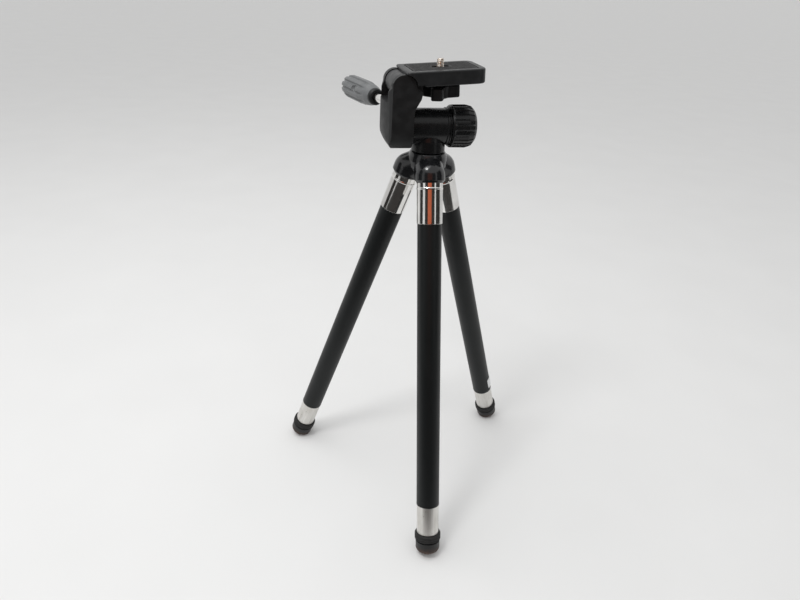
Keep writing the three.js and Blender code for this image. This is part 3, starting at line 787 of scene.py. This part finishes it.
def build_bracket():
    """A tall block with a bulging outer side, and two round ears that hold the platform's knuckle."""
    half = BRACKET_HALF_DEPTH
    curl_x, curl_width = BRACKET_LEFT + BRACKET_CURL_INSET, BRACKET_CURL_INSET + BRACKET_BULGE + 0.3
    curl_height = BRACKET_CURL_TOP - BRACKET_BOTTOM
    front = rounded([(curl_x, BRACKET_BOTTOM, 0), (BRACKET_RIGHT, BRACKET_BOTTOM, 0.4),
                     (BRACKET_RIGHT, 50, 3), (FLIP_X + 10, 53.4, 2), (FLIP_X + 14.6, 61.4, 2),
                     (FLIP_X + 15.6, 66.6, 1.6)], 1, 5, False)
    front += arc(FLIP_X, FLIP_HEIGHT, EAR_RADIUS, 0, 180, 40)
    front.append((BRACKET_LEFT - BRACKET_BULGE - 0.4, 60))
    for k in range(16):
        t = math.pi / 2 * k / 16
        front.append((curl_x - curl_width * math.cos(t), BRACKET_CURL_TOP - curl_height * math.sin(t)))
    front_place = turned(HEAD, "X", 90)
    bracket = prism("tilt_bracket", front, -half, half, front_place)
    front_corner, back_corner = BRACKET_FRONT_CORNER, BRACKET_BACK_CORNER
    side = arc(half - back_corner, BRACKET_BOTTOM + back_corner, back_corner, -90, 0, 28)
    side += [(half, 90), (-half, 90)]
    side += arc(front_corner - half, BRACKET_BOTTOM + front_corner, front_corner, 180, 270, 16)
    side_place = HEAD @ Matrix.Rotation(math.pi / 2, 4, "Z") @ Matrix.Rotation(math.pi / 2, 4, "X")
    silhouette = prism("side", side, -60, 60, side_place)
    reach = (half * half + BRACKET_BULGE * BRACKET_BULGE) / (2 * BRACKET_BULGE)
    bulge_centre = turned(HEAD, "Z", 0, (BRACKET_LEFT - BRACKET_BULGE + reach, 0, 0))
    bulge = revolve("bulge", cylinder_profile(reach, 0, 100), bulge_centre, sides=480)
    boolean(bracket, "INTERSECT", silhouette, bulge)
    between_ears = box_outline(-60, -EAR_GAP / 2, 0, EAR_GAP / 2)
    room = prism("knuckle_room", between_ears, FLIP_HEIGHT - EAR_ROOM_BELOW, 100, HEAD)
    boolean(bracket, "DIFFERENCE", room)
    bevel(bracket, 0.7, 3, 35)
    flip_axis = turned(HEAD, "X", 90, (FLIP_X, 0, FLIP_HEIGHT))
    pin_hole = cylinder_profile(PIN_HOLE, -FLIP_PIN_REACH, FLIP_PIN_REACH)
    holes = [
        revolve("shaft_hole", cylinder_profile(ROD_HOLE, SHAFT_HOLE_END, 0), BARREL, sides=48),
        revolve("pin_hole", pin_hole, flip_axis, sides=32),
        revolve("rod_hole", cylinder_profile(ROD_HOLE, -12.5, 40), HANDLE, sides=48),
    ]
    boolean(bracket, "DIFFERENCE", *holes)
    add(bracket, "tilt_body", BLACK, "black_plastic", "bracket")


# ---- platform --------------------------------------------------------------------------------
PLATFORM_LEFT = 2.0
PLATFORM_RIGHT = 69.0
PLATFORM_HALF_DEPTH = 25.0
PLATFORM_TOP = 12.4
PLATFORM_BOTTOM = 0.6
SCREW_X = 35.3
SLOT_LENGTH = 15.4
SLOT_WIDTH = 7.4
PAD_INSET = 5.5
PAD_DEPTH = 1.6
KNUCKLE_RADIUS = 9.6
WALL = 3  # of the tray, round its hollow underside


def platform_outline(inset, corner, left_corner=None):
    left, right = PLATFORM_LEFT + inset, PLATFORM_RIGHT - inset
    half = PLATFORM_HALF_DEPTH - inset
    near = corner if left_corner is None else left_corner
    return rounded([(left, -half, near), (right, -half), (right, half), (left, half, near)], corner, 12)


def slot_outline():
    half = SLOT_WIDTH / 2
    reach = SLOT_LENGTH / 2
    return rounded(box_outline(SCREW_X - reach, -half, SCREW_X + reach, half), half * 0.98, 8)


def build_platform():
    """A shallow tray with a knuckle at one end, hollow underneath and recessed for its pad."""
    plate = prism("camera_platform", platform_outline(0, 9, 3), PLATFORM_BOTTOM, PLATFORM_TOP, PLATFORM)
    bevel(plate, 1.3, 4, 50)
    hollow = prism("hollow", platform_outline(WALL, 7, 2), -1, PLATFORM_TOP - 5, PLATFORM)
    keep = prism("keep", box_outline(0, -26, 24, 26), -2, PLATFORM_TOP, PLATFORM)
    rib = prism("rib", box_outline(0, -3, 70, 3), -2, PLATFORM_TOP, PLATFORM)
    boolean(hollow, "DIFFERENCE", keep, rib)
    across = turned(PLATFORM, "X", 90)
    knuckle_half = EAR_GAP / 2 - GAP
    knuckle_profile = cylinder_profile(KNUCKLE_RADIUS, -knuckle_half, knuckle_half)
    knuckle = revolve("knuckle", rounded(knuckle_profile, 0.6, 4, False), across)
    gusset_outline = [(2, -4, 0), (KNUCKLE_RADIUS, -4.4), (17, -6.4), (17, 3, 0), (2, 3, 0)]
    gusset_outline = rounded(gusset_outline, 1.2, 4)
    gusset = prism("gusset", gusset_outline, -13.5, 13.5, across)
    boolean(plate, "DIFFERENCE", hollow)
    boolean(plate, "UNION", knuckle, gusset)
    ear = EAR_RADIUS + 0.5
    room = []
    for sign in (-1, 1):
        inner, outer = sorted((sign * knuckle_half, sign * 40))
        room.append(revolve("ear_room", cylinder_profile(ear, inner, outer), across))
        room.append(prism("heel_room", box_outline(-10, inner, ear, outer), -20, 0, PLATFORM))
        room.append(prism("stop_room", box_outline(0, inner, 16.6, outer), -20, 2, PLATFORM))
    recess = platform_outline(PAD_INSET, 3)
    room.append(prism("pad_recess", recess, PLATFORM_TOP - PAD_DEPTH, PLATFORM_TOP + 1, PLATFORM))
    room.append(prism("slot", slot_outline(), -5, PLATFORM_TOP, PLATFORM))
    screw_place = turned(PLATFORM, "Z", 0, (SCREW_X, 0, 0))
    room.append(revolve("knob_room", cylinder_profile(9, -10, 3.5), screw_place))
    room.append(revolve("pin_hole", cylinder_profile(PIN_HOLE, -40, 40), across, sides=32))
    boolean(plate, "DIFFERENCE", *room)
    add(plate, "platform_body", CHARCOAL, "black_plastic", "platform")


PAD_STUD = 1.5  # pitch of the small pyramids on the pad
PAD_RELIEF = 0.35
PAD_GAP = 0.8  # round the pad, in its recess
PAD_BORDER = 1.6  # plain edge round the studs
SLOT_BORDER = 1.4
STUD_CORNERS = ((-1, -1), (1, -1), (1, 1), (-1, 1))


def build_pad():
    """A rubber pad covered in small pyramids, with a plain border and a slot for the screw."""
    low, high, _ = span("platform_pad", PLATFORM)
    inset = PAD_INSET + PAD_GAP
    pad = prism("camera_pad", platform_outline(inset, 2.7), low, high - PAD_RELIEF, PLATFORM)
    boolean(pad, "DIFFERENCE", prism("slot", slot_outline(), low - 1, high + 1, PLATFORM))
    bm = bmesh.new()
    bm.from_mesh(pad.data)
    left = PLATFORM_LEFT + inset + PAD_BORDER
    right = PLATFORM_RIGHT - inset - PAD_BORDER
    half = PLATFORM_HALF_DEPTH - inset - PAD_BORDER
    across = int((right - left) / PAD_STUD)
    deep = int(2 * half / PAD_STUD)
    base = high - PAD_RELIEF - 0.05
    reach = PAD_STUD * 0.47
    crown = reach * 0.35

    def ring(x, y, z, size):
        """The four corners of one level of a pyramid."""
        corners = [((x + a * size) * MM, (y + b * size) * MM, z * MM) for a, b in STUD_CORNERS]
        return [bm.verts.new(corner) for corner in corners]

    for i in range(across):
        for j in range(deep):
            x = left + (i + 0.5) * (right - left) / across
            y = -half + (j + 0.5) * 2 * half / deep
            over_slot = abs(x - SCREW_X) < SLOT_LENGTH / 2 + SLOT_BORDER
            if over_slot and abs(y) < SLOT_WIDTH / 2 + SLOT_BORDER:
                continue
            lower = ring(x, y, base, reach)
            upper = ring(x, y, high, crown)
            bm.faces.new(upper)
            bm.faces.new(reversed(lower))
            for k in range(4):
                n = (k + 1) % 4
                bm.faces.new((lower[k], lower[n], upper[n], upper[k]))
    bmesh.ops.recalc_face_normals(bm, faces=bm.faces)
    bm.to_mesh(pad.data)
    bm.free()
    smooth(pad, 20)
    add(pad, "platform_body", RUBBER, "black_rubber", "platform_pad")


THREAD_PITCH = 1.27
THREAD_DEPTH = 0.62
THREAD_START = 7.6
THREAD_STEP = 0.12  # along the screw, from one ring of points to the next
SHANK_RADIUS = 2.4
WING_HEADINGS = (5, 125, 245)
WING_REACH = 16.9
WING_WIDTH = 10.6
WING_TOP = -3.2
WING_BOTTOM = -13.2


def build_screw():
    """A quarter-inch camera screw with a real thread, and the wing knob on its lower end."""
    place = turned(PLATFORM, "Z", 0, (SCREW_X, 0, 0))
    low, high, radius = span("camera_screw", place)
    steps = int((high - THREAD_START) / THREAD_STEP)
    profile = [(0, low), (SHANK_RADIUS, low), (SHANK_RADIUS, THREAD_START - 0.2)]
    profile += [(radius, THREAD_START + (high - THREAD_START) * k / steps) for k in range(steps + 1)]
    profile.append((0, high))

    def thread(r, z, angle):
        if z < THREAD_START:
            return r
        turn = (z / THREAD_PITCH - angle / (2 * math.pi)) % 1
        groove = abs(2 * turn - 1)
        taper = max(0, z - high + 0.9)
        return r - THREAD_DEPTH * groove - 0.6 * taper

    screw = revolve("threaded_camera_screw", profile, place, sides=64, shape=thread)
    add(screw, "camera_screw_body", SCREW, "chrome_steel", "camera_screw")

    boss = [(0, WING_BOTTOM), (7.2, WING_BOTTOM, 1), (8, WING_TOP, 0.6)]
    boss += [(6.6, WING_TOP, 0.5), (6.6, 3, 0.4), (0, 3)]
    knob = revolve("platform_wing_knob", rounded(boss, 0.5, 4, False), place)
    half = WING_WIDTH / 2
    root = half - 0.8
    outline = [(-3, -root, 0), (WING_REACH, -half, 3.2), (WING_REACH, half, 3.2), (-3, root, 0)]
    outline = rounded(outline, 3, 8)
    wings = []
    for heading in WING_HEADINGS:
        wing = prism("wing", outline, WING_BOTTOM, WING_TOP, turned(place, "Z", heading))
        wings.append(bevel(wing, 1.1, 4, 50))
    boolean(knob, "UNION", *wings)
    bore = revolve("bore", cylinder_profile(SHANK_RADIUS + GAP, -5.7, 10), place, sides=32)
    boolean(knob, "DIFFERENCE", bore)
    add(knob, "camera_screw_body", BLACK, "black_plastic", "wing_knob")


# ---- handle ----------------------------------------------------------------------------------
GRIP_FLUTES = 10
GRIP_FLUTE_DEPTH = 1.5
GRIP_DIMPLE_TURN = -72  # degrees round the grip from its top
GRIP_DIMPLE_PLACE = 28  # from the grip's near end
GRIP_DIMPLE_RADIUS = 4.2


def build_handle():
    """A plain rod out of the bracket, a collar ring on it, and a fluted grip."""
    low, high, radius = span("handle_rod", HANDLE)
    outline = rounded(cylinder_profile(radius, low, high), 0.4, 4, False)
    rod = revolve("handle_steel_rod", outline, HANDLE)
    add(rod, "handle", CHROME, "chrome_steel", "handle_rod")

    low, high, _ = span("handle_ring", HANDLE)
    outline = [(ROD_HOLE, low), (6.4, low, 0.4), (7.6, low + 1.3, 0.8), (7.8, high), (ROD_HOLE, high)]
    ring = revolve("handle_collar_ring", rounded(outline, 0.3), HANDLE, closed=True)
    add(ring, "handle", BLACK, "black_plastic", "handle_ring")

    low, high, radius = span("handle_grip", HANDLE)
    profile = [(ROD_HOLE, low, 0), (7.7, low, 0.6), (9.4, low + 6, 4)]
    profile += [(radius, low + 20, 6), (radius, high - 9, 4)]
    profile += [(radius - 1.0, high - 2.6, 2), (radius - 4.2, high, 1.4), (0, high)]
    profile = dense(rounded(profile, 0.5, 8, False), 1.5)
    bore_end = low + 31
    profile = [(0, bore_end), (ROD_HOLE, bore_end)] + profile
    flutes_start = low + 7

    def flutes(r, z, angle):
        if r < 6 or z < flutes_start:
            return r
        fade = min(1, (z - flutes_start) / 10)
        groove = 1 / (1 + math.exp(7 * (math.cos(GRIP_FLUTES * angle) + 0.5)))
        return r - GRIP_FLUTE_DEPTH * fade * groove

    grip = revolve("fluted_grip", profile, HANDLE, sides=GRIP_FLUTES * 20, shape=flutes)
    facing = turned(HANDLE, "Z", GRIP_DIMPLE_TURN)
    dimple_place = turned(facing, "Z", 0, (radius + 0.8, 0, low + GRIP_DIMPLE_PLACE))
    dimple = sphere("dimple", GRIP_DIMPLE_RADIUS, dimple_place, sides=48)
    boolean(grip, "DIFFERENCE", dimple)
    add(grip, "handle", GREY, "grey_plastic", "handle_grip")


def finish_kept_nodes():
    """CAD nodes whose own shape is kept get their material here."""
    kept = ["pan_bolt", "tilt_shaft", "platform_pin", "screw_clip"]
    for name in kept + [side + "_hinge_pin" for side in SIDES]:
        node = frame["nodes"][name]
        node.data.materials.clear()
        node.data.materials.append(STEEL)
        smooth(node)


# ---- stage, light and camera -----------------------------------------------------------------
CAMERA_DISTANCE = 536.4  # from the tripod's axis
CAMERA_ABOVE_HEAD = 153.2  # over the level that the head is measured from
CAMERA_PITCH = 28.70  # degrees, as are roll and heading
CAMERA_ROLL = 3.12
CAMERA_HEADING = -1.87
FOCAL_LENGTH = 27.0  # on a sensor 36 mm wide


def build_camera():
    pitch, roll, heading = (math.radians(a) for a in (CAMERA_PITCH, CAMERA_ROLL, CAMERA_HEADING))
    level = Vector((math.sin(heading), math.cos(heading), 0))
    forward = level * math.cos(pitch) - Vector((0, 0, math.sin(pitch)))
    right = forward.cross(Vector((0, 0, 1))).normalized()
    up = right.cross(forward)
    leaning_right = right * math.cos(roll) + up * math.sin(roll)
    leaning_up = up * math.cos(roll) - right * math.sin(roll)
    place = Matrix((leaning_right, leaning_up, -forward)).transposed().to_4x4()
    place.translation = HEAD.translation + Vector((0, -CAMERA_DISTANCE, CAMERA_ABOVE_HEAD)) * MM
    data = bpy.data.cameras.new("camera")
    data.lens = FOCAL_LENGTH
    data.sensor_width = 36.0
    camera = bpy.data.objects.new("camera", data)
    camera.matrix_world = place
    bpy.context.scene.collection.objects.link(camera)
    bpy.context.scene.camera = camera


FLOOR_HALF_SIZE = 60000
SKY = (0.80, 0.80, 0.80)
SKY_STRENGTH = 0.95
# What only the reflections show, so that the chrome has dark and warm bands.
DARK_MAT = (-1400, -1480, 1400, -230)  # left, near, right and far edges, on the floor
SCREEN_RADIUS = 1500.0
SCREEN_HEIGHT = 1250.0
SCREEN_STEPS = 12
SCREENS = ((-92, -62), (-42, 46), (58, 100))  # headings from straight forward, in degrees
WARM_CARD = (-380, 480, 420, 1100)  # left, bottom, right and top


def area_light(name, position, target, size, power):
    data = bpy.data.lights.new(name, "AREA")
    data.shape = "RECTANGLE"
    data.size, data.size_y = size
    data.energy = power
    light = bpy.data.objects.new(name, data)
    light.location = position
    aim = Vector(target) - Vector(position)
    light.rotation_euler = aim.to_track_quat("-Z", "Y").to_euler()
    light.visible_camera = False
    bpy.context.scene.collection.objects.link(light)


def stage_finish(name, dark, light):
    f = Finish(name)
    f.colour(f.mix(f.noise((120, 120, 120)), dark, light))
    f.roughness(f.ramp(f.noise((30, 30, 30)), 0.3, 0.7, 0.75, 0.9))
    return f.material


def warm_card_finish():
    """A dim orange glow, a little uneven."""
    f = Finish("warm_card")
    f.colour(f.mix(f.noise((120, 120, 120)), (0.02, 0.005, 0.002), (0.03, 0.008, 0.003)))
    f.shader.inputs["Emission Color"].default_value = (1.0, 0.19, 0.05, 1)
    f.shader.inputs["Emission Strength"].default_value = 0.42
    return f.material


def build_stage():
    """A pale floor under an even sky, with dark screens and a warm card for the chrome to mirror."""
    bm = bmesh.new()
    bmesh.ops.create_grid(bm, x_segments=1, y_segments=1, size=FLOOR_HALF_SIZE)
    floor = to_object("floor", bm, Matrix.Identity(4))
    floor_finish = stage_finish("pale_paper_floor", (0.72, 0.72, 0.715), (0.76, 0.76, 0.755))
    floor.data.materials.append(floor_finish)

    screen_finish = stage_finish("dark_screen", (0.016, 0.015, 0.014), (0.03, 0.028, 0.025))
    mat = prism("dark_mat", box_outline(*DARK_MAT), 0.2, 0.6, Matrix.Identity(4))
    mat.data.materials.append(screen_finish)
    mat.visible_camera = mat.visible_shadow = mat.visible_diffuse = False
    for k, (start, end) in enumerate(SCREENS):
        bm = bmesh.new()
        foot = arc(0, 0, SCREEN_RADIUS, start - 90, end - 90, SCREEN_STEPS)
        rows = [[bm.verts.new((x, y, z)) for x, y in foot] for z in (0.0, SCREEN_HEIGHT)]
        for n in range(SCREEN_STEPS):
            bm.faces.new((rows[0][n], rows[0][n + 1], rows[1][n + 1], rows[1][n]))
        screen = to_object(f"screen_{k}", bm, Matrix.Identity(4))
        screen.data.materials.append(screen_finish)
        screen.visible_camera = False
        screen.visible_shadow = screen.visible_diffuse = False

    world = bpy.data.worlds.new("studio")
    bpy.context.scene.world = world
    world.use_nodes = True
    background = world.node_tree.nodes["Background"]
    background.inputs["Color"].default_value = (*SKY, 1)
    background.inputs["Strength"].default_value = SKY_STRENGTH
    middle = (0, 0, 0.3)
    area_light("overhead", (-0.5, 0.1, 1.7), middle, (1.2, 1.2), 8)
    area_light("lamp", (-0.42, -0.42, 1.25), middle, (0.26, 0.26), 4)
    card = prism("warm_card", box_outline(*WARM_CARD), 1299, 1300, turned(Matrix.Identity(4), "X", 90))
    card.data.materials.append(warm_card_finish())
    card.visible_camera = card.visible_shadow = card.visible_diffuse = False
    bpy.context.scene.view_settings.view_transform = "Standard"


build_camera()
build_legs()
build_hub()
build_neck()
build_tilt_knob()
build_bracket()
build_platform()
build_pad()
build_screw()
build_handle()
finish_kept_nodes()
build_stage()
